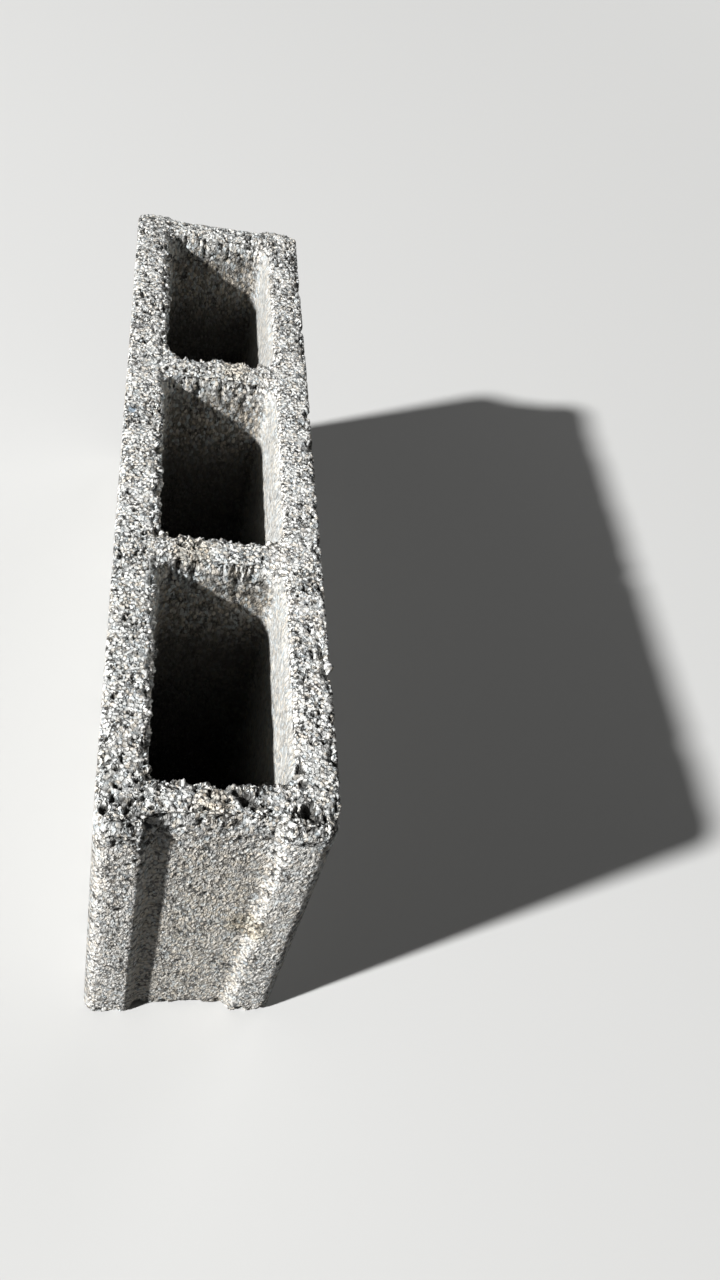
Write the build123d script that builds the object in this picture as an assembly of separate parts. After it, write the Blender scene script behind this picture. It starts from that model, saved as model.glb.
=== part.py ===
from build123d import *
from math import atan2, degrees, radians, tan
import os

# A three-core hollow concrete block, in millimetres.
# X runs along the block, Y across it and Z up. The origin is the middle of the bottom bed.

# The place that a block and its joints take in a wall, and the joint
module_length = 400
module_width = 100
module_height = 200
mortar_joint = 10
corner_round = 6.5

# Walls, as thick as they are at the top bed, where the cores are widest
face_shell = 18.5
end_web = 18.5
inner_web = 15.2

# Draft of all that the mould draws upwards out of the block, in degrees
mould_draft = 0.6

# Cores
core_count = 3
core_corner_round = 9
core_rim_round = 2.8

# End recesses: a shallow groove down each end leaves an ear on each side for the mortar
ear_width = 17.5
recess_depth = 4.5
recess_slope = 5
recess_floor_round = 3.5
ear_lip_round = 3

# Arrises of the beds
top_arris_round = 1.8
bottom_arris_round = 1

# What follows from them
length = module_length - mortar_joint
width = module_width - mortar_joint
height = module_height - mortar_joint
core_length = (length - 2 * end_web - (core_count - 1) * inner_web) / core_count
core_width = width - 2 * face_shell
core_pitch = core_length + inner_web


def block_body():
    """The block before anything is cut from it: its plan with rounded corners, drawn up."""
    return extrude(RectangleRounded(length, width, corner_round), amount=height)


def recess_tool():
    """The rib of the mould that leaves the groove in the +X end, longer than the block is high.

    It is drawn on the end face, narrower at the foot by the draft, and its sides slope in to the floor.
    """
    overrun = 2 * recess_slope
    half_mouth = width / 2 - ear_width
    half_top = half_mouth + overrun * tan(radians(mould_draft))
    half_foot = half_mouth - (height + overrun) * tan(radians(mould_draft))
    rib_plan = make_face(
        Polyline(
            (-half_foot, -overrun),
            (half_foot, -overrun),
            (half_top, height + overrun),
            (-half_top, height + overrun),
            close=True,
        )
    )
    side_angle = degrees(atan2(recess_slope, recess_depth))
    return extrude(Plane.YZ.offset(length / 2) * rib_plan, amount=-recess_depth, taper=side_angle)


def upright_edges(block, distance):
    """The edges that run the whole height of a recess, this far from the middle along X."""
    found = []
    for edge in block.edges():
        middle = edge.center()
        at_end = abs(abs(middle.X) - distance) < 0.01
        full_height = abs(middle.Z - height / 2) < 0.01
        if at_end and full_height and abs(middle.Y) < width / 2 - ear_width:
            found.append(edge)
    return found


def recess_ends(block):
    """The block with a groove down each end, its lips and the corners of its floor rounded."""
    tool = recess_tool()
    block -= tool
    block -= mirror(tool, about=Plane.YZ)
    block = fillet(upright_edges(block, length / 2 - recess_depth), recess_floor_round)
    return fillet(upright_edges(block, length / 2), ear_lip_round)


def core_bar():
    """The space that one core bar of the mould leaves, drafted from the top bed down."""
    mouth = Plane.XY.offset(height) * RectangleRounded(core_length, core_width, core_corner_round)
    return extrude(mouth, amount=-height, taper=mould_draft)


def bore_cores(block):
    """The block with its row of cores."""
    for core_place in GridLocations(core_pitch, 0, core_count, 1):
        block -= core_place * core_bar()
    return block


def bed_edges(block, bed_number):
    """The outline edges and the core mouth edges of a bed: number 0 is the bottom one, -1 the top one."""
    bed = block.faces().filter_by(Axis.Z).sort_by(Axis.Z)[bed_number]
    mouths = [edge for wire in bed.inner_wires() for edge in wire.edges()]
    return list(bed.outer_wire().edges()), mouths


def round_arrises(block):
    """The block with its core rims and the arrises of its beds rounded, as they leave the mould."""
    outline, core_rims = bed_edges(block, -1)
    block = fillet(core_rims, core_rim_round)
    outline, core_rims = bed_edges(block, -1)
    block = fillet(outline, top_arris_round)
    outline, core_feet = bed_edges(block, 0)
    return fillet(outline + core_feet, bottom_arris_round)


concrete_block = round_arrises(bore_cores(recess_ends(block_body())))

os.makedirs("parts", exist_ok=True)
export_step(concrete_block, "parts/concrete_block.step")
print("core at the top bed:", round(core_length, 2), "x", core_width)
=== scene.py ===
import bmesh
import bpy
from math import atan, cos, pi, radians, sin, tan
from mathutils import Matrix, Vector


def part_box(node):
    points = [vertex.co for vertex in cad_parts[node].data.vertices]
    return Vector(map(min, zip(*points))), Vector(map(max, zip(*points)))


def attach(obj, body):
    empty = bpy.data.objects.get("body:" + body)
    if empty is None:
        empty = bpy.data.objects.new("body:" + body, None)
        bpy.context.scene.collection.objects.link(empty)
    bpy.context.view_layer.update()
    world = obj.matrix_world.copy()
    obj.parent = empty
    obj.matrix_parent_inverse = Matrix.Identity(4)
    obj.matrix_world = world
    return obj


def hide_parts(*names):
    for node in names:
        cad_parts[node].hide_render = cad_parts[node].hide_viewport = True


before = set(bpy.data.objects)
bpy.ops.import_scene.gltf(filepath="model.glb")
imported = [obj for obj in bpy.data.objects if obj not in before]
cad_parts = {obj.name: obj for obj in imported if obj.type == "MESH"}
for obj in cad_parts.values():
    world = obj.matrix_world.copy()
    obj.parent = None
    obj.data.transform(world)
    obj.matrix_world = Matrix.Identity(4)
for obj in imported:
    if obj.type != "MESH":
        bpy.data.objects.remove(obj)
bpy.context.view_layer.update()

mm = 0.001
tiny = 0.01 * mm  # two places nearer than this are the same place
level = 0.9  # a face lies level where its normal rises more than this
steep = 0.5  # and stands where it rises less than this

low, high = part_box("concrete_block")
blockSize = high - low
topBed = high.z
halfLength = high.x
halfWidth = high.y


# Selecting and applying

def deselectAll():
    bpy.ops.object.select_all(action="DESELECT")


def takeUp(piece):
    deselectAll()
    piece.select_set(True)
    bpy.context.view_layer.objects.active = piece


def startEdit(piece, mode):
    takeUp(piece)
    bpy.ops.object.mode_set(mode="EDIT")
    bpy.ops.mesh.select_mode(type=mode)


def endEdit():
    bpy.ops.object.mode_set(mode="OBJECT")


def selectVerts(piece, wanted):
    mesh = bmesh.from_edit_mesh(piece.data)
    for vert in mesh.verts:
        vert.select_set(wanted(vert.co))
    mesh.select_flush_mode()
    bmesh.update_edit_mesh(piece.data)


def selectEdges(piece, wanted):
    bpy.ops.mesh.select_all(action="DESELECT")
    mesh = bmesh.from_edit_mesh(piece.data)
    for edge in mesh.edges:
        if wanted(edge.verts[0].co, edge.verts[1].co, [face.normal for face in edge.link_faces]):
            edge.select_set(True)
    bmesh.update_edit_mesh(piece.data)


def selectFaces(piece, wanted):
    bpy.ops.mesh.select_all(action="DESELECT")
    mesh = bmesh.from_edit_mesh(piece.data)
    for face in mesh.faces:
        if wanted(face.calc_center_median(), face.normal):
            face.select_set(True)
    bmesh.update_edit_mesh(piece.data)


def applyModifier(piece, kind, **settings):
    takeUp(piece)
    modifier = piece.modifiers.new(kind.lower(), kind)
    for name, value in settings.items():
        setattr(modifier, name, value)
    bpy.ops.object.modifier_apply(modifier=modifier.name)


def placeCube(name, middle, size):
    deselectAll()
    bpy.ops.mesh.primitive_cube_add(size=1, location=middle)
    piece = bpy.context.object
    piece.name = name
    piece.scale = size
    bpy.ops.object.transform_apply(location=True, rotation=True, scale=True)
    return piece


# Node helpers, the same for the relief and for the finish

def feed(tree, value, socket):
    if isinstance(value, bpy.types.NodeSocket):
        tree.links.new(value, socket)
    else:
        socket.default_value = value


def addNode(tree, kind, sockets=None, **settings):
    node = tree.nodes.new(kind)
    for name, value in settings.items():
        setattr(node, name, value)
    for name, value in (sockets or {}).items():
        feed(tree, value, node.inputs[name])
    return node


def calc(tree, operation, *values):
    node = addNode(tree, "ShaderNodeMath", operation=operation)
    for value, socket in zip(values, node.inputs):
        feed(tree, value, socket)
    return node.outputs[0]


def times(tree, *values):
    product = values[0]
    for value in values[1:]:
        product = calc(tree, "MULTIPLY", product, value)
    return product


def plus(tree, *values):
    total = values[0]
    for value in values[1:]:
        total = calc(tree, "ADD", total, value)
    return total


def opposite(tree, value):  # 1 where the value is 0, and 0 where it is 1
    return calc(tree, "SUBTRACT", 1.0, value)


def sharedOut(tree, zones, shares):  # the zones added up, each by its share
    return plus(tree, *[times(tree, zones[name], share) for name, share in shares.items()])


def ramp(tree, value, start, end, atStart=0.0, atEnd=1.0):
    sockets = {"Value": value, "From Min": start, "From Max": end, "To Min": atStart, "To Max": atEnd}
    return addNode(tree, "ShaderNodeMapRange", sockets, interpolation_type="SMOOTHSTEP").outputs["Result"]


def inFrom(tree, value, face, band, atStart=0.0, atEnd=1.0):  # eases between two distances in from a face
    inwards = -1 if face > tiny else 1
    return ramp(tree, value, face + inwards * band[0], face + inwards * band[1], atStart, atEnd)


def coordinates(tree, vector):
    return addNode(tree, "ShaderNodeSeparateXYZ", {"Vector": vector}).outputs


def distance(tree, first, second):
    return addNode(tree, "ShaderNodeVectorMath", {0: first, 1: second}, operation="DISTANCE").outputs["Value"]


def scaled(tree, vector, factors, shift=(0, 0, 0)):
    node = addNode(tree, "ShaderNodeVectorMath", operation="MULTIPLY_ADD")
    for value, socket in zip((vector, factors, shift), node.inputs):
        feed(tree, value, socket)
    return node.outputs["Vector"]


def moved(tree, vector, shift):  # so that one pattern doesn't repeat another
    return scaled(tree, vector, (1, 1, 1), shift)


def shaken(tree, place, size, amount):  # bends a pattern, so that no two cells are alike
    shift = addNode(tree, "ShaderNodeTexNoise", {"Vector": place, "Scale": 1 / size, "Detail": 1})
    return scaled(tree, shift.outputs["Color"], (amount, amount, amount), place)


def noise(tree, vector, size, detail=2.0, roughness=0.5):  # size is that of its largest lumps
    sockets = {"Vector": vector, "Scale": 1 / size, "Detail": detail, "Roughness": roughness}
    return addNode(tree, "ShaderNodeTexNoise", sockets).outputs[0]


def patches(tree, vector, pattern, atStart=0.0, atEnd=1.0):  # a noise with its lumps made clearer
    size, detail, roughness, start, end = pattern
    return ramp(tree, noise(tree, vector, size, detail, roughness), start, end, atStart, atEnd)


def cells(tree, vector, size, smoothness=0.0):
    sockets = {"Vector": vector, "Scale": 1 / size}
    feature = "SMOOTH_F1" if smoothness else "F1"
    node = addNode(tree, "ShaderNodeTexVoronoi", sockets, feature=feature)
    if smoothness:
        node.inputs["Smoothness"].default_value = smoothness
    return node


# The block as its mould shapes it

blockShape = {
    "faceShell": 18.5 * mm,
    "endWeb": 18.5 * mm,
    "innerWeb": 15.2 * mm,
    "draft": radians(0.6),
    "cornerRound": 6.5 * mm,
    "cornerSteps": 6,
    "coreCount": 3,
    "coreCornerRound": 9 * mm,
    "coreCornerSteps": 8,
    "coreRimRound": 2.8 * mm,
    "rimSteps": 5,
    "earWidth": 17.5 * mm,
    "recessDepth": 4.5 * mm,
    "recessSlope": 5 * mm,
    "recessFloorRound": 3.5 * mm,
    "earLipRound": 3 * mm,
    "recessSteps": 3,
    "topArrisRound": 1.8 * mm,
    "bottomArrisRound": 1 * mm,
    "arrisSteps": 4,
}
webs = 2 * blockShape["endWeb"] + (blockShape["coreCount"] - 1) * blockShape["innerWeb"]
coreLength = (blockSize.x - webs) / blockShape["coreCount"]
coreWidth = blockSize.y - 2 * blockShape["faceShell"]
corePitch = coreLength + blockShape["innerWeb"]
rowEnd = blockShape["coreCount"] * corePitch / 2  # as far out as the cores and half a web reach


def recessLine(halfAtTop, z):  # half the width of the recess at a height: the draft narrows it downwards
    return halfAtTop - (topBed - z) * tan(blockShape["draft"])


def makeBody(shape):
    body = placeCube("concreteBlock", (low + high) / 2, blockSize)
    halfMouth = halfWidth - shape["earWidth"]
    halfFloor = halfMouth - shape["recessSlope"]

    # cut the mouths and the floors of the recesses into the ends, then push the floors in
    startEdit(body, "VERT")
    for side in (-1, 1):
        for halfAtTop in (halfMouth, halfFloor):
            bpy.ops.mesh.select_all(action="SELECT")
            bpy.ops.mesh.bisect(
                plane_co=(0, side * halfAtTop, topBed), plane_no=(0, 1, -side * tan(shape["draft"])))
    for end in (-1, 1):
        selectVerts(body, lambda v: abs(v.x - end * halfLength) < tiny
                    and abs(v.y) < recessLine(halfFloor, v.z) + tiny)
        bpy.ops.transform.translate(value=(-end * shape["recessDepth"], 0, 0))

    # round the uprights: block corners, lips of the ears, corners of the recess floors
    slopeTurn = atan(shape["recessDepth"] / shape["recessSlope"])
    bpy.ops.mesh.select_mode(type="EDGE")

    def upright(a, b):
        return abs(a.z - b.z) > blockSize.z / 2

    selectEdges(body, lambda a, b, n: upright(a, b) and abs(a.y) > halfWidth - tiny)
    bpy.ops.mesh.bevel(offset=shape["cornerRound"], segments=shape["cornerSteps"])
    selectEdges(body, lambda a, b, n: upright(a, b) and abs(a.x) > halfLength - tiny
                and abs(a.y) < halfMouth + tiny)
    bpy.ops.mesh.bevel(offset=shape["earLipRound"] * tan(slopeTurn / 2), segments=shape["recessSteps"])
    selectEdges(body, lambda a, b, n: upright(a, b)
                and abs(abs(a.x) - halfLength + shape["recessDepth"]) < tiny)
    bpy.ops.mesh.bevel(offset=shape["recessFloorRound"] * tan(slopeTurn / 2), segments=shape["recessSteps"])

    # round the arrises of the beds
    for up, size in ((1, shape["topArrisRound"]), (-1, shape["bottomArrisRound"])):
        selectEdges(body, lambda a, b, n: len(n) == 2
                    and max(up * n[0].z, up * n[1].z) > level and min(up * n[0].z, up * n[1].z) < steep)
        bpy.ops.mesh.bevel(offset=size, segments=shape["arrisSteps"])
    endEdit()
    return body


def flareEnd(cutter, end, size, radius, steps):  # opens the cutter's end like a bell, which rounds the rim
    selectFaces(cutter, lambda middle, normal: end * normal.z > level)
    centre = Vector((0, 0, topBed if end > 0 else low.z))
    width = Vector(size)
    rise = 0.0
    for step in range(1, steps + 1):
        angle = step / steps * pi / 2
        newWidth = Vector(size) + Vector((2, 2)) * radius * (1 - cos(angle))
        bpy.ops.mesh.extrude_region_move(
            TRANSFORM_OT_translate={"value": (0, 0, end * (radius * sin(angle) - rise))})
        bpy.ops.transform.resize(
            value=(newWidth.x / width.x, newWidth.y / width.y, 1), center_override=centre)
        width, rise = newWidth, radius * sin(angle)
    bpy.ops.mesh.extrude_region_move(TRANSFORM_OT_translate={"value": (0, 0, end * radius)})


def makeCoreCutter(shape):
    narrowing = 2 * blockSize.z * tan(shape["draft"])
    topSize = (coreLength, coreWidth)
    footSize = (coreLength - narrowing, coreWidth - narrowing)

    foot, top = low.z + shape["bottomArrisRound"], topBed - shape["coreRimRound"]
    cutter = placeCube("coreCutter", (0, 0, (foot + top) / 2), (coreLength, coreWidth, top - foot))
    startEdit(cutter, "EDGE")
    selectEdges(cutter, lambda a, b, n: abs(a.z - b.z) > tiny)
    bpy.ops.mesh.bevel(offset=shape["coreCornerRound"], segments=shape["coreCornerSteps"])
    selectFaces(cutter, lambda middle, normal: normal.z < -level)
    bpy.ops.transform.resize(
        value=(footSize[0] / topSize[0], footSize[1] / topSize[1], 1), center_override=(0, 0, foot))
    flareEnd(cutter, 1, topSize, shape["coreRimRound"], shape["rimSteps"])
    flareEnd(cutter, -1, footSize, shape["bottomArrisRound"], shape["rimSteps"])

    # one cutter for each core
    bpy.ops.mesh.select_all(action="SELECT")
    bpy.ops.transform.translate(value=(-corePitch * (shape["coreCount"] - 1) / 2, 0, 0))
    for copy in range(shape["coreCount"] - 1):
        bpy.ops.mesh.duplicate_move(TRANSFORM_OT_translate={"value": (corePitch, 0, 0)})
    bpy.ops.mesh.select_all(action="SELECT")
    bpy.ops.mesh.normals_make_consistent(inside=False)
    endEdit()
    return cutter


def makeBlock(shape):
    body = makeBody(shape)
    cutter = makeCoreCutter(shape)
    applyModifier(body, "BOOLEAN", object=cutter, operation="DIFFERENCE", solver="EXACT")
    bpy.data.objects.remove(cutter)
    print("block moulded:", len(body.data.polygons), "faces")
    return body


# The relief: open grain, pits and crumbled arrises, pressed into the moulded form

reliefSizes = {
    "grid": 1.1 * mm,
    "fineBand": 6 * mm,  # this much of the top and of the near end gets a grid twice as fine
    "triangleLimit": 196000,
    "grain": 2.0 * mm,
    "largeGrain": 3.1 * mm,
    "largeGrainWeight": 1.15,
    "grainBend": 2.2 * mm,
    "grainShift": 2.4 * mm,
    "grainGap": (0.3, 0.85),
    "grainDepth": 0.32 * mm,
    "pit": 2.7 * mm,
    "pitFrom": (0.6, 0.7),
    "sharpPitFrom": (0.62, 0.65),
    "pitDepth": 1.9 * mm,
    "pitsWhereOpen": 0.05,
    "pitted": (17 * mm, 10 * mm, 0.0, 0.07),
    "openNear": (130 * mm, halfLength - 8 * mm, 0.0, 0.55),
    "openFar": (-20 * mm, -120 * mm, 0.0, 0.3),
    "openFrom": (0.05, 0.9),
    "pressedFrom": (0.05, 0.3),  # bump alone does for the closed walls
    "lump": 4.2 * mm,
    "lumpPower": 1.8,
    "lumpDepth": 0.3 * mm,
    "wave": 14 * mm,
    "waveMiddle": 0.45,
    "waveOnWalls": 0.12,
    "waviness": 0.7 * mm,
    "crumb": 7 * mm,
    "crumbsFrom": (0.3, 0.7, 0.45, 1.0),
    "crumbleDepth": 3.0 * mm,
    "nibblesFrom": (0.48, 0.64),
    "nibbleDepth": 2.8 * mm,
    "furrowStretch": 0.12,
    "furrowDepth": 0.3 * mm,
    "furrowsAnywhere": 0.15,
    "furrowsOnWebs": 4.5,
    "rimWear": 1.3 * mm,
    "rimTooth": 4 * mm,
    "rimRaggedness": 9 * mm,
    "proud": 0.35 * mm,  # the open grain is raised by this before its gaps are pressed in
    "wobble": 2.5 * mm,
    "wobbleReach": 2 * mm,
    "crackWidth": 0.9 * mm,
    "crackDepth": 1.2 * mm,
    "voidFrom": (0.2 * mm, 0.6 * mm),

    # size, detail and roughness of a noise, and the values between which it eases
    "grainMixing": (6 * mm, 1, 0.5, 0.46, 0.56),
    "openPatches": (18 * mm, 3, 0.6, 0.38, 0.62),
    "nearPatches": (16 * mm, 3, 0.6, 0.36, 0.62),
    "furrows": (2.8 * mm, 2, 0.5, 0.54, 0.64),

    # how far in from a face, or from a core's far end, a zone starts and where it is full
    "topEdge": (9 * mm, 1 * mm),
    "upperBand": (34 * mm, 0 * mm),
    "rimBand": (10 * mm, 2 * mm),
    "endFace": (8 * mm, 5 * mm),
    "nearBand": (24 * mm, 7 * mm),
    "nearEdge": (11 * mm, 1 * mm),
    "farEdge": (8 * mm, 1 * mm),
    "rightEdge": (7 * mm, 1 * mm),
    "leftEdge": (6 * mm, 1 * mm),
    "bottomEdge": (8 * mm, 1 * mm),
    "softRimAlong": (15 * mm, 5 * mm),

    # how far from the middle of the block, or from a core's mouth, a zone starts and where it is full
    "innerAcross": (33 * mm, 29 * mm),
    "innerAlong": (184 * mm, 180 * mm),
    "softRimAcross": (20 * mm, 25 * mm),
    "smoothRimAcross": (18 * mm, 24 * mm),
    "rimReach": (5 * mm, 0.5 * mm),

    # how much of a normal points along the block, up or down
    "webFacing": (0.4, 0.85),
    "bedFacing": (0.1, 0.6),
    "footFacing": (-0.97, -0.7),

    # how open the grain is in each zone, where the top bed has 1
    "openShares": {
        "anyWall": 0.03,
        "upperWall": 0.05,
        "outside": 0.3,
        "nearFace": 0.16,
        "nearBand": 0.6,
        "nearLeast": 0.3,  # of the band's own, between its patches
        "bottomEdge": 0.45,
        "roughRim": 0.8,
        "farFace": 0.08,
        "nearEdge": 0.4,
        "smoothRim": -0.5,
    },

    # how much of each edge is broken away
    "crumbled": {"nearEdge": 1.0, "farEdge": 0.6},
    "nibbled": {"rightEdge": 1.0, "leftEdge": 0.3, "roughRim": 0.9, "bottomEdge": 0.9},
}

# voids and lumps that stand out on this block: place, radius and depth in mm, a lump with its depth below 0
marks = [
    ((189.5, -42.0, 188), 3.2, 3.0),
    ((192.5, -19.5, 187), 3.1, 3.2),
    ((188.5, -33.0, 189), 1.9, 1.8),
    ((194.0, -31.5, 186), 1.8, 1.6),
    ((183.5, 9.0, 189), 3.6, 2.6),
    ((187.0, 32.0, 189), 3.8, 4.0),
    ((190.5, 34.5, 187.5), 3.6, 4.0),
    ((191.5, 40.5, 187), 2.2, 2.4),
    ((169.0, 28.9, 189.8), 3.2, 2.6),
    ((176.0, 30.5, 190), 2.2, 1.8),
    ((180.5, 5.5, 189.5), 2.4, 2.0),
    ((186.5, 12.5, 189), 2.2, 1.8),
    ((141.0, -40.7, 189.5), 1.6, 1.6),
    ((66.0, -42.3, 189.5), 1.4, 1.4),
    ((157.0, 43.0, 188), 2.6, 2.4),
    ((29.5, 43.6, 188), 2.4, 2.2),
    ((52.0, 43.4, 188), 2.8, 2.2),
    ((195.0, -32.9, 117.7), 2.4, 0.9),
    ((190.6, 8.5, 119.4), 1.3, 1.0),
    ((190.6, 1.4, 125.4), 1.3, 1.0),
    ((193.6, -26.4, 155.8), 1.8, 1.4),
    ((194.2, -28.4, 161.0), 1.7, 1.2),
    ((193.9, -27.0, 149.5), 1.5, 1.1),
    ((194.7, -31.0, 157.5), 1.4, 1.0),
    ((195.0, -36.4, 4.5), 2.6, 2.2),
    ((193.0, -20.0, 3.5), 2.4, 2.0),
    ((195.0, 33.0, 3.0), 2.2, 1.8),
    ((121.0, 44.0, 189), 2.2, -1.3),
    ((117.0, -25.3, 188.5), 1.6, -1.0),
]
crack = ((-80.0, 28.0, 190), (-84.6, 40.0, 190))
pittedPlace = (-171.0, 38.0, 190)  # the middle of an area with many pits

# a stone covers the paste and a patch tints it: place, radius in mm, colour, how much shows and how
tints = [
    ((-23.0, -41.5, 190), 2.2, (0.34, 0.44, 0.54), 0.85, "MIX"),
    ((193.0, 21.5, 96), 13, (0.78, 0.66, 0.42), 0.4, "MULTIPLY"),
    ((186.0, -3.0, 190), 9, (0.96, 0.85, 0.70), 0.5, "MULTIPLY"),
    ((64.0, -12.0, 190), 11, (0.96, 0.85, 0.70), 0.5, "MULTIPLY"),
    ((-62.0, 8.0, 190), 10, (0.96, 0.85, 0.70), 0.5, "MULTIPLY"),
]


def asPlace(millimetres):
    return Vector(millimetres) * mm


def grainField(tree, place, sizes):
    # rounded grains of two sizes with gaps between them, and irregular pits where some have come away
    bent = shaken(tree, place, sizes["grainBend"], sizes["grainShift"])
    small = cells(tree, bent, sizes["grain"]).outputs["Distance"]
    large = cells(tree, moved(tree, bent, (0.3, 0.6, 0.2)), sizes["largeGrain"]).outputs["Distance"]
    mixing = patches(tree, place, sizes["grainMixing"])
    fromMiddle = plus(tree, times(tree, small, opposite(tree, mixing)),
                      times(tree, large, mixing, sizes["largeGrainWeight"]))

    # the grain opens towards both ends, most at the near one
    x = coordinates(tree, place)["X"]
    ends = plus(tree, ramp(tree, x, *sizes["openNear"]), ramp(tree, x, *sizes["openFar"]))
    openness = plus(tree, patches(tree, place, sizes["openPatches"], *sizes["openFrom"]), ends)
    pitted = ramp(tree, distance(tree, place, asPlace(pittedPlace)), *sizes["pitted"])
    pitNoise = plus(tree, noise(tree, place, sizes["pit"], 3, 0.7),
                    times(tree, openness, sizes["pitsWhereOpen"]), pitted)
    return {
        "gap": ramp(tree, fromMiddle, *sizes["grainGap"]),
        "pit": ramp(tree, pitNoise, *sizes["pitFrom"]),
        "sharpPit": ramp(tree, pitNoise, *sizes["sharpPitFrom"]),
        "openness": openness,
    }


def findRims(tree, x, y, z, sizes):
    # the rims of the cores: worn soft on the right and at each far end, rough elsewhere
    inRow = calc(tree, "MAXIMUM", calc(tree, "MINIMUM", x, rowEnd - tiny), tiny - rowEnd)
    fromCore = calc(tree, "WRAP", inRow, corePitch / 2, -corePitch / 2)
    beyondEnd = calc(tree, "SUBTRACT", calc(tree, "ABSOLUTE", fromCore), coreLength / 2)
    beyondSide = calc(tree, "SUBTRACT", calc(tree, "ABSOLUTE", y), coreWidth / 2)
    rim = times(tree, ramp(tree, calc(tree, "MAXIMUM", beyondEnd, beyondSide), *sizes["rimReach"]),
                inFrom(tree, z, topBed, sizes["rimBand"]))
    soft = calc(tree, "MAXIMUM", ramp(tree, y, *sizes["softRimAcross"]),
                inFrom(tree, fromCore, -coreLength / 2, sizes["softRimAlong"]))
    softRim = times(tree, rim, soft)
    return softRim, calc(tree, "SUBTRACT", rim, softRim)


def findZones(tree, place, normal, sizes):
    x, y, z = coordinates(tree, place)
    facing = coordinates(tree, normal)
    topEdge = inFrom(tree, z, topBed, sizes["topEdge"])
    nearFace = inFrom(tree, x, halfLength, sizes["endFace"])
    inner = times(tree, ramp(tree, calc(tree, "ABSOLUTE", y), *sizes["innerAcross"]),
                  ramp(tree, calc(tree, "ABSOLUTE", x), *sizes["innerAlong"]))
    outside = opposite(tree, inner)
    softRim, roughRim = findRims(tree, x, y, z, sizes)
    return {
        "webSide": times(tree, inner, ramp(tree, calc(tree, "ABSOLUTE", facing["X"]), *sizes["webFacing"])),
        "softRim": softRim,
        "roughRim": roughRim,
        "smoothRim": times(tree, inner, ramp(tree, y, *sizes["smoothRimAcross"])),
        "bed": ramp(tree, facing["Z"], *sizes["bedFacing"]),
        "upperBand": inFrom(tree, z, topBed, sizes["upperBand"]),
        "topEdge": topEdge,
        "inner": inner,
        "outside": outside,
        "nearFace": nearFace,
        "farFace": inFrom(tree, x, -halfLength, sizes["endFace"]),
        "nearBand": times(tree, nearFace, inFrom(tree, z, topBed, sizes["nearBand"])),
        "nearEdge": times(tree, inFrom(tree, x, halfLength, sizes["nearEdge"]), topEdge),
        "farEdge": times(tree, inFrom(tree, x, -halfLength, sizes["farEdge"]), topEdge),
        "rightEdge": times(tree, inFrom(tree, y, halfWidth, sizes["rightEdge"]), topEdge),
        "leftEdge": times(tree, inFrom(tree, y, -halfWidth, sizes["leftEdge"]), topEdge),
        "bottomEdge": times(tree, inFrom(tree, z, low.z, sizes["bottomEdge"]), outside,
                            ramp(tree, facing["Z"], *sizes["footFacing"])),
    }


def findStrength(tree, place, zones, sizes):  # how open the grain is: 1 on the top bed, little on the walls
    shares = sizes["openShares"]

    def share(name):
        return times(tree, zones[name], shares[name])

    patchy = patches(tree, place, sizes["nearPatches"], shares["nearLeast"], 1.0)
    upper = plus(tree, shares["upperWall"], share("outside"), zones["webSide"])
    walls = plus(tree, shares["anyWall"], times(tree, zones["upperBand"], upper), share("nearFace"),
                 times(tree, zones["nearBand"], patchy, shares["nearBand"]), share("bottomEdge"),
                 share("roughRim"), share("farFace"))
    strength = calc(tree, "MAXIMUM", zones["bed"], walls)
    return plus(tree, strength, share("nearEdge"), share("smoothRim"))


def openGrainDepth(tree, place, zones, strength, sizes):
    field = grainField(tree, place, sizes)
    grains = times(tree, field["gap"], field["openness"], sizes["grainDepth"])
    lump = cells(tree, moved(tree, place, (0.4, 0.1, 0.7)), sizes["lump"], 0.3)
    lumps = times(tree, calc(tree, "POWER", lump.outputs["Distance"], sizes["lumpPower"]),
                  sizes["lumpDepth"], plus(tree, 1.0, zones["nearEdge"]))
    pressed = ramp(tree, strength, *sizes["pressedFrom"])
    pits = times(tree, field["pit"], sizes["pitDepth"])
    return times(tree, plus(tree, grains, pits, lumps), strength, pressed)


def brokenEdgeDepth(tree, place, zones, sizes):
    wave = calc(tree, "SUBTRACT", noise(tree, place, sizes["wave"], 3, 0.6), sizes["waveMiddle"])
    onTop = calc(tree, "MAXIMUM", zones["bed"], zones["topEdge"])
    amount = plus(tree, sizes["waveOnWalls"], times(tree, onTop, 1 - sizes["waveOnWalls"]))
    waves = times(tree, wave, amount, sizes["waviness"])
    worn = times(tree, zones["softRim"], zones["softRim"], sizes["rimWear"])
    pieces = noise(tree, moved(tree, place, (0.2, 0.8, 0.5)), sizes["crumb"], 2, 0.6)
    crumbs = times(tree, ramp(tree, pieces, *sizes["crumbsFrom"]), sizes["crumbleDepth"],
                   sharedOut(tree, zones, sizes["crumbled"]))
    nibbles = times(tree, ramp(tree, pieces, *sizes["nibblesFrom"]),
                    sharedOut(tree, zones, sizes["nibbled"]), sizes["nibbleDepth"])
    swelling = calc(tree, "SUBTRACT", 0.5, noise(tree, place, sizes["rimTooth"], 2, 0.6))
    ragged = times(tree, swelling, zones["roughRim"], sizes["rimRaggedness"])
    return plus(tree, waves, worn, crumbs, nibbles, ragged)


def furrows(tree, place, sizes):  # dragged down the walls as the mould was drawn off
    return patches(tree, scaled(tree, place, (1, 1, sizes["furrowStretch"])), sizes["furrows"])


def furrowDepth(tree, place, zones, sizes):
    amount = plus(tree, sizes["furrowsAnywhere"],
                  times(tree, zones["upperBand"], zones["webSide"], sizes["furrowsOnWebs"]))
    walls = opposite(tree, zones["bed"])
    return times(tree, furrows(tree, place, sizes), walls, amount, sizes["furrowDepth"])


centring = Vector((1, 1, 1)) * reliefSizes["wobbleReach"] / 2  # about what a wobble adds on average


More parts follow.
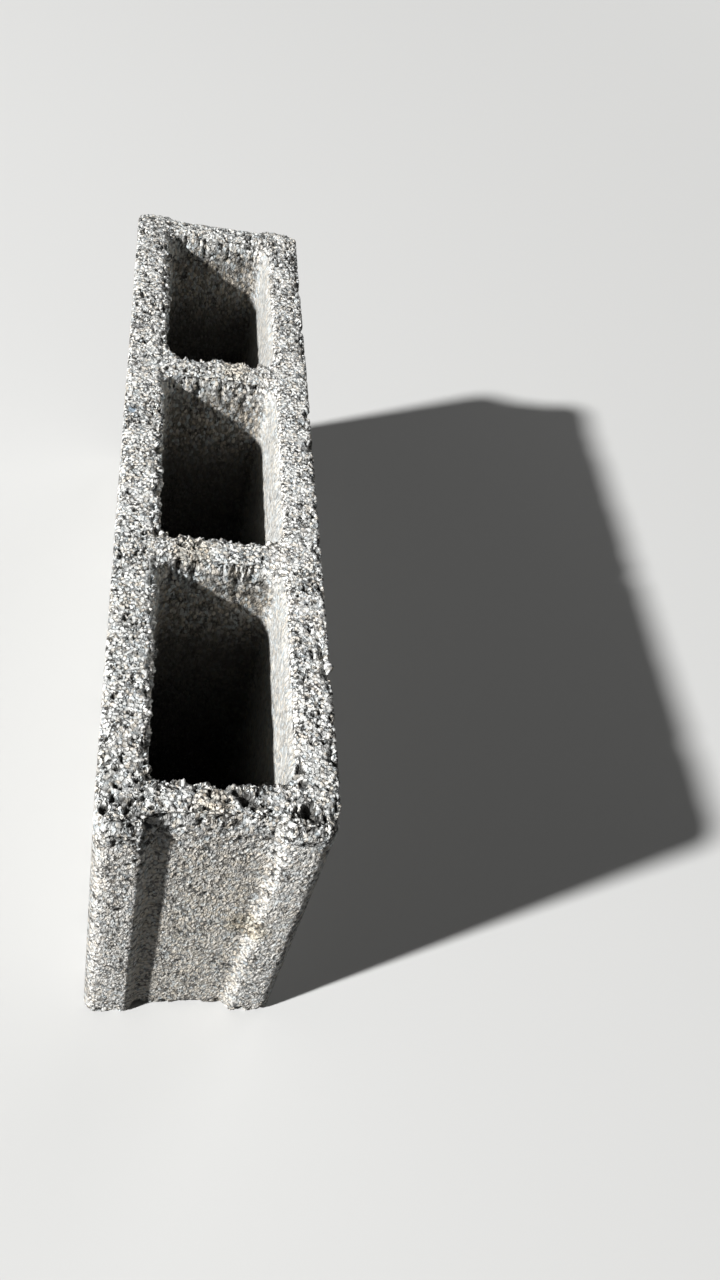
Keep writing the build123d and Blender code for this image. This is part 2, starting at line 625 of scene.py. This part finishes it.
def wobbledPlace(tree, place, sizes):  # gives voids, stones and the crack an uneven outline
    return shaken(tree, place, sizes["wobble"], sizes["wobbleReach"])


def spot(tree, wobbled, middle, radius, amount):  # nothing outside its radius and all of it inside half
    away = distance(tree, wobbled, asPlace(middle) + centring)
    return ramp(tree, away, radius * mm, radius / 2 * mm, 0.0, amount)


def fromCrack(tree, wobbled):  # how far a point is from the line between the crack's ends
    start, finish = [asPlace(end) + centring for end in crack]
    along = finish - start
    fromStart = addNode(tree, "ShaderNodeVectorMath", {0: wobbled, 1: start}, operation="SUBTRACT")
    fromStart = fromStart.outputs["Vector"]
    share = addNode(tree, "ShaderNodeVectorMath", {0: fromStart, 1: along / along.length_squared},
                    operation="DOT_PRODUCT").outputs["Value"]
    share = calc(tree, "MINIMUM", calc(tree, "MAXIMUM", share, 0.0), 1.0)
    foot = addNode(tree, "ShaderNodeVectorMath", {0: along}, operation="SCALE")
    feed(tree, share, foot.inputs["Scale"])
    return distance(tree, fromStart, foot.outputs["Vector"])


def markDepth(tree, place, sizes):
    wobbled = wobbledPlace(tree, place, sizes)
    total = 0.0
    for middle, radius, depth in marks:
        total = plus(tree, total, spot(tree, wobbled, middle, radius, depth * mm))
    cracked = ramp(tree, fromCrack(tree, wobbled), sizes["crackWidth"], 0.0, 0.0, sizes["crackDepth"])
    return plus(tree, total, cracked)


def keepAttribute(tree, geometry, name, value, kind="FLOAT"):
    keep = addNode(tree, "GeometryNodeStoreNamedAttribute", {"Geometry": geometry, "Name": name},
                   data_type=kind, domain="POINT")
    feed(tree, value, keep.inputs["Value"])
    return keep.outputs["Geometry"]


def reliefNodes(sizes):
    tree = bpy.data.node_groups.new("openGrain", "GeometryNodeTree")
    tree.interface.new_socket("Geometry", in_out="INPUT", socket_type="NodeSocketGeometry")
    tree.interface.new_socket("Geometry", in_out="OUTPUT", socket_type="NodeSocketGeometry")
    source = tree.nodes.new("NodeGroupInput")
    result = tree.nodes.new("NodeGroupOutput")
    place = tree.nodes.new("GeometryNodeInputPosition").outputs["Position"]
    normal = tree.nodes.new("GeometryNodeInputNormal").outputs["Normal"]

    zones = findZones(tree, place, normal, sizes)
    strength = findStrength(tree, place, zones, sizes)
    marked = markDepth(tree, place, sizes)
    depth = plus(tree, openGrainDepth(tree, place, zones, strength, sizes),
                 brokenEdgeDepth(tree, place, zones, sizes),
                 furrowDepth(tree, place, zones, sizes), marked)
    depth = calc(tree, "SUBTRACT", depth, times(tree, strength, sizes["proud"]))
    offset = addNode(tree, "ShaderNodeVectorMath", {"Vector": normal}, operation="SCALE")
    feed(tree, times(tree, depth, -1.0), offset.inputs["Scale"])

    # the finish reads where each point was, how open the grain is there, and where the voids,
    # the sides of the webs and the cores are
    geometry = keepAttribute(tree, source.outputs[0], "moulded", place, "FLOAT_VECTOR")
    geometry = keepAttribute(tree, geometry, "open", strength)
    geometry = keepAttribute(tree, geometry, "void", ramp(tree, marked, *sizes["voidFrom"]))
    geometry = keepAttribute(tree, geometry, "webSide", zones["webSide"])
    geometry = keepAttribute(tree, geometry, "inside", zones["inner"])
    sockets = {"Geometry": geometry, "Offset": offset.outputs["Vector"]}
    pressed = addNode(tree, "GeometryNodeSetPosition", sockets)
    feed(tree, pressed.outputs["Geometry"], result.inputs[0])
    return tree


def pressRelief(block, sizes):
    applyModifier(block, "REMESH", mode="VOXEL", voxel_size=sizes["grid"])
    startEdit(block, "FACE")
    selectFaces(block, lambda middle, normal: middle.z > topBed - sizes["fineBand"]
                or middle.x > halfLength - sizes["fineBand"])
    bpy.ops.mesh.subdivide(number_cuts=1)
    endEdit()
    print("even grid:", len(block.data.polygons), "faces")
    applyModifier(block, "NODES", node_group=reliefNodes(sizes))
    triangles = sum(len(face.vertices) - 2 for face in block.data.polygons)
    applyModifier(block, "DECIMATE", ratio=sizes["triangleLimit"] / triangles)
    for vert in block.data.vertices:
        vert.co.z = max(vert.co.z, low.z)
    takeUp(block)
    bpy.ops.object.shade_smooth()
    inTop = sum(1 for vert in block.data.vertices if vert.co.z > topBed - sizes["fineBand"])
    print("relief pressed in:", len(block.data.vertices), "points,", inTop, "in the top")


# The finish

concreteFinish = {
    "bed": (0.85, 0.86, 0.83),
    "bedPale": (0.93, 0.94, 0.92),
    "wall": (0.93, 0.905, 0.845),
    "wallPale": (0.96, 0.945, 0.905),
    "coreWall": (0.40, 0.402, 0.386),
    "sideWall": (0.40, 0.392, 0.368),
    "stain": (0.54, 0.485, 0.395),
    # darker web sides inside the cores, more so further down: partly their own colour, partly painted shade
    "webStainAndShade": (0.19, 0.172, 0.143),
    # painted shade: the core walls darken deeper down, and the furrows darken, where shade falls
    "paintedShade": (0.10, 0.095, 0.085),
    "paleGrain": (0.90, 0.89, 0.86),
    "darkGrain": (0.20, 0.21, 0.22),
    "warmGrain": (0.80, 0.70, 0.56),
    "coolGrain": (0.62, 0.70, 0.74),
    # the colour of painted shade in the gaps, holes, pits, voids and the crack
    "gap": (0.05, 0.048, 0.044),
    "roughness": 0.93,
    "specular": 0.25,

    # how open the grain is where a finish starts and where it is full
    "bedOpen": (0.35, 0.9),
    "sandOpen": (0.2, 0.8),
    "coreWallOpen": (0.5, 0.1),
    "sideOpen": (0.6, 0.2),
    "broadOpen": (0.9, 0.4),

    # which of the random numbers, from 0 to 1, make a grain pale, dark, warm or cool
    "paleFrom": (0.4, 0.9),
    "darkFrom": (0.78, 1.0),
    "warmFrom": (0.6, 1.0),
    "coolFrom": (0.35, 0.0),

    # how much of a colour shows
    "coreWallShare": 0.85,
    "sideWallShare": 0.9,
    "recessStain": 0.75,
    "broadStain": 0.15,
    # the web sides darken from the first value to the second further down: partly stain, partly painted shade
    "webStainAndShadeShare": (0.2, 0.95),
    # how strongly the painted shade darkens deep inside the cores, less on the shells than on the web sides
    "paintedShadeShare": 0.85,
    "paintedShadeOnShells": 0.65,
    "furrowShade": 0.55,
    "crackShade": 0.9,
    "darkShare": 0.8,
    "largeGapShade": 0.4,
    "pitShade": 0.95,
    "voidShade": 0.9,

    # how much fewer pale grains there are in each place; on the web sides this is partly painted shade
    "soiledAndShaded": {"webStainedAndShaded": 0.45, "coreWall": 0.3, "inRecess": 0.25, "onSide": 0.5},

    # size, detail and roughness of a noise, and the values between which it eases
    "mottle": (7 * mm, 4, 0.65, 0.35, 0.7),
    "broadPatches": (45 * mm, 4, 0.6, 0.36, 0.66),
    "loosePatches": (8 * mm, 4, 0.65, 0.4, 0.6),

    # how far in from a face a finish starts and where it is full
    "side": (3 * mm, 0.5 * mm),
    "recessFloor": (6 * mm, 3.5 * mm),
    "recessDown": (6 * mm, 40 * mm),
    "webDown": (4 * mm, 20 * mm),
    "coreDown": (24 * mm, 65 * mm),
    "recessAcross": (27 * mm, 20 * mm),  # this one from the middle

    "sand": 1.4 * mm,
    "sandBend": 1.5 * mm,
    "sandShake": 0.6 * mm,
    "sandGap": (0.5, 0.68),
    "looseness": (0.45, 1.05),
    "tightInCores": 0.6,
    "largeGap": (0.35, 0.8),
    "drawnOut": 0.6,
    "hole": 1.9 * mm,
    "holeEdge": 0.02,
    "grit": 1.4 * mm,
    "largeGapDepth": 0.1 * mm,
    "pitDepth": 0.8 * mm,
    "crackWidth": 0.7 * mm,

    # the first value is for the walls and the second for the top bed
    "wallsToBed": {
        "holeFrom": (0.58, 0.556),
        "holeShade": (0.9, 0.95),
        "holeDepth": (1.0 * mm, 1.2 * mm),
        "gapShade": (0.65, 0.66),
        "gapDepth": (0.6 * mm, 1.15 * mm),
        "gritHeight": (1.6 * mm, 0.42 * mm),
        "grainStep": (0.2 * mm, 0.45 * mm),
        "paleShare": (0.7, 0.8),
        "tintShare": (0.5, 0.6),
    },
}


def mixColour(tree, factor, first, second, blend="MIX"):
    node = addNode(tree, "ShaderNodeMix", data_type="RGBA", blend_type=blend, clamp_factor=True)
    feed(tree, factor, node.inputs[0])
    for value, socket in ((first, node.inputs[6]), (second, node.inputs[7])):
        feed(tree, value if isinstance(value, bpy.types.NodeSocket) else (*value, 1), socket)
    return node.outputs[2]


def wallsToBed(tree, onBed, pair):  # goes from the walls' value to the bed's
    sockets = {"Value": onBed, "To Min": pair[0], "To Max": pair[1]}
    return addNode(tree, "ShaderNodeMapRange", sockets).outputs["Result"]


def stored(tree, name, output="Fac"):  # what the relief kept at each point
    return addNode(tree, "ShaderNodeAttribute", attribute_name=name).outputs[output]


def findParts(tree, place, finish):  # the parts of the block that have a finish of their own
    x, y, z = coordinates(tree, place)
    outX = calc(tree, "ABSOLUTE", x)
    outY = calc(tree, "ABSOLUTE", y)
    openHere = stored(tree, "open")
    webSide = stored(tree, "webSide")
    inside = stored(tree, "inside")
    # the web sides darken further down: partly stain, partly painted shade
    stainAndShadeDown = inFrom(tree, z, topBed, finish["webDown"], *finish["webStainAndShadeShare"])
    # painted shade, darker deeper down inside the cores
    shadeDown = inFrom(tree, z, topBed, finish["coreDown"], 0.0, finish["paintedShadeShare"])
    return {
        "open": openHere,
        "void": stored(tree, "void"),
        "webSide": webSide,
        "webStainedAndShaded": times(tree, webSide, stainAndShadeDown),
        "coreWall": times(tree, inside, opposite(tree, webSide),
                          ramp(tree, openHere, *finish["coreWallOpen"])),
        "onSide": times(tree, inFrom(tree, outY, halfWidth, finish["side"]),
                        ramp(tree, openHere, *finish["sideOpen"])),
        "inRecess": times(tree, inFrom(tree, outX, halfLength, finish["recessFloor"]),
                          ramp(tree, outY, *finish["recessAcross"]),
                          inFrom(tree, z, topBed, finish["recessDown"])),
        # painted shade deep inside the cores
        "paintedDeepShade": times(tree, inside, shadeDown,
                      plus(tree, finish["paintedShadeOnShells"], times(tree, webSide, 1 - finish["paintedShadeOnShells"]))),
    }


def pasteColour(tree, place, parts, finish, sizes):
    # cool on the bed and warm on the ends, grey in the cores and on the sides, stained in the recesses; the
    # web sides darken partly by stain and partly by painted shade, and the furrows by painted shade
    mottle = patches(tree, place, finish["mottle"])
    bed = mixColour(tree, mottle, finish["bed"], finish["bedPale"])
    wall = mixColour(tree, mottle, finish["wall"], finish["wallPale"])
    colour = mixColour(tree, ramp(tree, parts["open"], *finish["bedOpen"]), wall, bed)
    broad = times(tree, patches(tree, place, finish["broadPatches"]),
                  ramp(tree, parts["open"], *finish["broadOpen"]), finish["broadStain"])
    layers = (
        ("coreWall", times(tree, parts["coreWall"], finish["coreWallShare"])),
        ("sideWall", times(tree, parts["onSide"], finish["sideWallShare"])),
        ("stain", plus(tree, times(tree, parts["inRecess"], finish["recessStain"]), broad)),
        ("webStainAndShade", parts["webStainedAndShaded"]),
        # painted shade in the furrows down the web sides
        ("paintedShade", times(tree, furrows(tree, place, sizes), parts["webSide"], finish["furrowShade"])),
    )
    for name, amount in layers:
        colour = mixColour(tree, amount, colour, finish[name])
    return colour


def addSand(tree, colour, place, parts, finish):
    # each cell is one grain, pale or dark, with painted shade in the gaps between the grains and in holes
    # where some have gone
    onBed = ramp(tree, parts["open"], *finish["sandOpen"])
    here = {name: wallsToBed(tree, onBed, pair) for name, pair in finish["wallsToBed"].items()}
    drawn = scaled(tree, place, (1, 1, finish["drawnOut"]))
    sand = cells(tree, shaken(tree, drawn, finish["sandBend"], finish["sandShake"]), finish["sand"])
    first, second, third = coordinates(tree, sand.outputs["Color"])  # three random numbers for each cell
    paleKept = opposite(tree, sharedOut(tree, parts, finish["soiledAndShaded"]))
    grains = (
        ("paleGrain", times(tree, ramp(tree, first, *finish["paleFrom"]), here["paleShare"], paleKept)),
        ("darkGrain", times(tree, ramp(tree, second, *finish["darkFrom"]), finish["darkShare"])),
        ("warmGrain", times(tree, ramp(tree, third, *finish["warmFrom"]), here["tintShare"])),
        ("coolGrain", times(tree, ramp(tree, third, *finish["coolFrom"]), here["tintShare"])),
    )
    for name, amount in grains:
        colour = mixColour(tree, amount, colour, finish[name])

    looseness = times(tree, patches(tree, place, finish["loosePatches"], *finish["looseness"]),
                      opposite(tree, times(tree, parts["coreWall"], finish["tightInCores"])))
    gap = times(tree, ramp(tree, sand.outputs["Distance"], *finish["sandGap"]), looseness)
    holeTo = plus(tree, here["holeFrom"], finish["holeEdge"])
    hole = ramp(tree, noise(tree, drawn, finish["hole"], 2, 0.6), here["holeFrom"], holeTo)
    hole = times(tree, hole, looseness)
    # painted shade in the gaps and holes
    shade = calc(tree, "MAXIMUM", times(tree, gap, here["gapShade"]), times(tree, hole, here["holeShade"]))
    colour = mixColour(tree, shade, colour, finish["gap"])

    grit = noise(tree, drawn, finish["grit"], 2, 0.6)
    height = plus(tree, times(tree, hole, here["holeDepth"], -1.0), times(tree, gap, here["gapDepth"], -1.0),
                  times(tree, grit, here["gritHeight"]), times(tree, third, here["grainStep"]))
    return colour, height


def addMarks(tree, colour, place, finish, sizes):
    wobbled = wobbledPlace(tree, place, sizes)
    for middle, radius, tint, amount, blend in tints:
        colour = mixColour(tree, spot(tree, wobbled, middle, radius, amount), colour, tint, blend)
    # painted shade along the crack
    width = finish["crackWidth"]
    cracked = ramp(tree, fromCrack(tree, wobbled), width, width / 2, 0.0, finish["crackShade"])
    return mixColour(tree, cracked, colour, finish["gap"])


def makeConcrete(finish, sizes):
    material = bpy.data.materials.new("open_grain_concrete")
    material.use_nodes = True
    tree = material.node_tree
    shader = tree.nodes["Principled BSDF"]
    place = stored(tree, "moulded", "Vector")
    parts = findParts(tree, place, finish)
    colour = pasteColour(tree, place, parts, finish, sizes)
    colour, sandHeight = addSand(tree, colour, place, parts, finish)
    colour = addMarks(tree, colour, place, finish, sizes)
    # painted shade, darker deeper down inside the cores
    colour = mixColour(tree, parts["paintedDeepShade"], colour, finish["paintedShade"])

    # the larger grains and the pits are those of the relief; their gaps, the pits and the voids get painted
    # shade
    field = grainField(tree, place, sizes)
    gap = times(tree, ramp(tree, field["gap"], *finish["largeGap"]), field["openness"])
    cavity = calc(tree, "MAXIMUM", times(tree, gap, finish["largeGapShade"]),
                  times(tree, field["sharpPit"], finish["pitShade"]))
    cavity = times(tree, cavity, parts["open"])
    cavity = calc(tree, "MAXIMUM", cavity, times(tree, parts["void"], finish["voidShade"]))
    feed(tree, mixColour(tree, cavity, colour, finish["gap"]), shader.inputs["Base Color"])
    shader.inputs["Roughness"].default_value = finish["roughness"]
    shader.inputs["Specular IOR Level"].default_value = finish["specular"]

    # the finest grain, which the mesh is too coarse for, as bump
    height = plus(tree, sandHeight, times(tree, field["gap"], parts["open"], -finish["largeGapDepth"]),
                  times(tree, field["sharpPit"], parts["open"], -finish["pitDepth"]))
    bump = addNode(tree, "ShaderNodeBump", {"Height": height, "Distance": 1.0, "Strength": 1.0})
    feed(tree, bump.outputs["Normal"], shader.inputs["Normal"])
    return material


# Floor, light and camera

stageSettings = {
    "floorSize": 12,
    "floorColour": (0.635, 0.635, 0.625),
    "floorBounce": (0.14, 0.14, 0.14),
    "key": {"from": (0.39, -1.0, 0.684), "distance": 8.0, "width": 0.4, "power": 1330},
    "fill": {"from": (-0.7, 0.75, 0.3), "distance": 3.0, "width": 2.2, "power": 28},
    "skyLight": 0.02,
    "skyShown": 0.85,
    "cameraPlace": (0.38207, -0.04078, 0.53642),
    "cameraTurn": (38.654, -12.287, 85.193),
    "cameraLens": 30.495,
}


def whatShows(tree):  # 1 where the camera, a reflection or glass looks
    path = tree.nodes.new("ShaderNodeLightPath")
    seen = calc(tree, "MAXIMUM", path.outputs["Is Camera Ray"], path.outputs["Is Glossy Ray"])
    return calc(tree, "MAXIMUM", seen, path.outputs["Is Transmission Ray"])


def makeFloor(settings):
    deselectAll()
    bpy.ops.mesh.primitive_plane_add(size=settings["floorSize"], location=(0, 0, low.z))
    floor = bpy.context.object
    floor.name = "floor"
    bpy.ops.object.transform_apply(location=True, rotation=True, scale=True)
    material = bpy.data.materials.new("pale_floor")
    material.use_nodes = True
    tree = material.node_tree
    shader = tree.nodes["Principled BSDF"]
    colour = mixColour(tree, whatShows(tree), settings["floorBounce"], settings["floorColour"])
    feed(tree, colour, shader.inputs["Base Color"])
    shader.inputs["Roughness"].default_value = 1.0
    shader.inputs["Specular IOR Level"].default_value = 0.0
    floor.data.materials.append(material)


def makeLamp(name, settings):
    deselectAll()
    direction = Vector(settings["from"]).normalized()
    target = (low + high) / 2
    bpy.ops.object.light_add(type="AREA", location=target + direction * settings["distance"])
    lamp = bpy.context.object
    lamp.name = name
    lamp.data.shape = "DISK"
    lamp.data.size = settings["width"]
    lamp.data.energy = settings["power"]
    lamp.rotation_euler = direction.to_track_quat("Z", "Y").to_euler()


def makeSky(settings):
    world = bpy.data.worlds.new("studio")
    bpy.context.scene.world = world
    world.use_nodes = True
    tree = world.node_tree
    strength = ramp(tree, whatShows(tree), 0, 1, settings["skyLight"], settings["skyShown"])
    background = tree.nodes["Background"]
    background.inputs["Color"].default_value = (1, 1, 1, 1)
    feed(tree, strength, background.inputs["Strength"])


def makeCamera(settings):
    deselectAll()
    bpy.ops.object.camera_add(location=settings["cameraPlace"])
    camera = bpy.context.object
    camera.rotation_euler = [radians(angle) for angle in settings["cameraTurn"]]
    camera.data.lens = settings["cameraLens"]
    bpy.context.scene.camera = camera


makeCamera(stageSettings)
makeFloor(stageSettings)
makeLamp("key", stageSettings["key"])
makeLamp("fill", stageSettings["fill"])
makeSky(stageSettings)
bpy.context.scene.view_settings.view_transform = "Standard"
print("floor, light and camera ready")

block = makeBlock(blockShape)
pressRelief(block, reliefSizes)
block.data.materials.clear()
block.data.materials.append(makeConcrete(concreteFinish, reliefSizes))
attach(block, "root")
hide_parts("concrete_block")
print("block finished")
